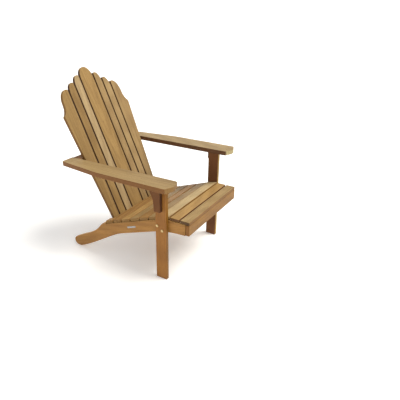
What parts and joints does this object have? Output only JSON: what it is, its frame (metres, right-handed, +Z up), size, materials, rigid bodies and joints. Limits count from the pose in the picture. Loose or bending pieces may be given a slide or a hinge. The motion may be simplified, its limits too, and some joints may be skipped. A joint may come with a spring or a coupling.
{
  "type": "adirondack chair",
  "caption": "Teak garden armchair with a low sloping slatted seat, a fanned scalloped slat back, flat wide arms, straight front legs and curved side rails that form the rear feet",
  "frame": {"origin": "on the ground, at the centre of the bounding box's footprint", "axes": "+Z is up, -Y is the way the sitter faces, X = 0 is the plane of symmetry, +X is the sitter's left"},
  "size_m": [0.732, 0.8624, 0.9805],
  "materials": {
    "teak": "oiled, satin",
    "teak_pale": "oiled, satin",
    "teak_frame": "oiled, satin",
    "brass": "satin",
    "plate_steel": "brushed"
  },
  "bodies": {
    "root": {"side_rail_right": "teak_frame", "side_rail_left": "teak_frame", "front_leg_right": "teak_frame", "front_leg_left": "teak_frame", "front_apron": "teak", "seat_slat_1": "teak", "seat_slat_2": "teak", "seat_slat_3": "teak_pale", "seat_slat_4": "teak", "seat_slat_5": "teak", "seat_slat_6": "teak", "seat_slat_7": "teak", "seat_slat_8": "teak", "seat_slat_9": "teak", "back_slat_1": "teak", "back_slat_2": "teak", "back_slat_3": "teak_pale", "back_slat_4": "teak", "back_slat_5": "teak", "back_slat_6": "teak", "back_slat_7": "teak", "lower_back_rail": "teak_frame", "arm_right": "teak", "arm_left": "teak", "arm_rail": "teak_frame", "arm_bracket_right": "teak_frame", "arm_bracket_left": "teak_frame", "leg_bolt_right_1": "brass", "leg_washer_right_1": "brass", "leg_nut_right_1": "brass", "leg_bolt_right_2": "brass", "leg_washer_right_2": "brass", "leg_nut_right_2": "brass", "leg_bolt_left_1": "brass", "leg_washer_left_1": "brass", "leg_nut_left_1": "brass", "leg_bolt_left_2": "brass", "leg_washer_left_2": "brass", "leg_nut_left_2": "brass", "blank_plate": "plate_steel"}
  },
  "joints": []
}
